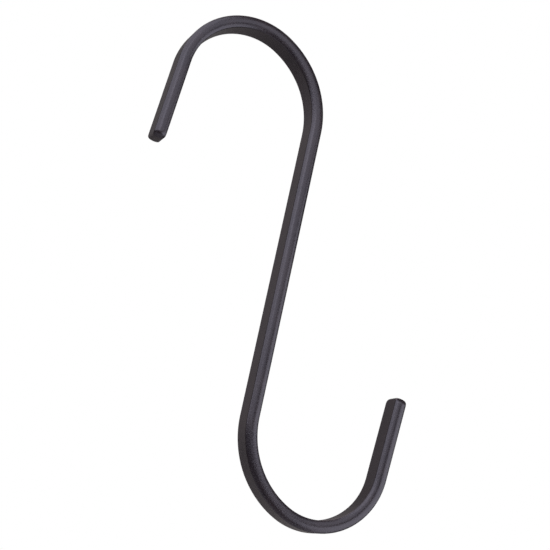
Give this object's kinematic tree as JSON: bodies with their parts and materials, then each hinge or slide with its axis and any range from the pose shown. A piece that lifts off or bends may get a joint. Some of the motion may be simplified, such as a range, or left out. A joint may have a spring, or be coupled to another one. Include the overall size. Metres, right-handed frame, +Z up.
{
  "type": "s-hook",
  "caption": "One-piece S-shaped hook of coated flat steel bar: two opposed bends with straight legs, for hanging a load from a rail.",
  "frame": {"origin": "on the axis of the upper seat, where the centre of a hanging rail sits", "axes": "+Z up along the shank, +Y through the depth of the bar towards the back, +X towards the lower hook"},
  "size_m": [0.1072, 0.0082, 0.1619],
  "materials": {
    "steel": "satin",
    "black_coating": "satin"
  },
  "bodies": {
    "root": {"steel_bar": "steel", "black_coating": "black_coating"}
  },
  "joints": []
}
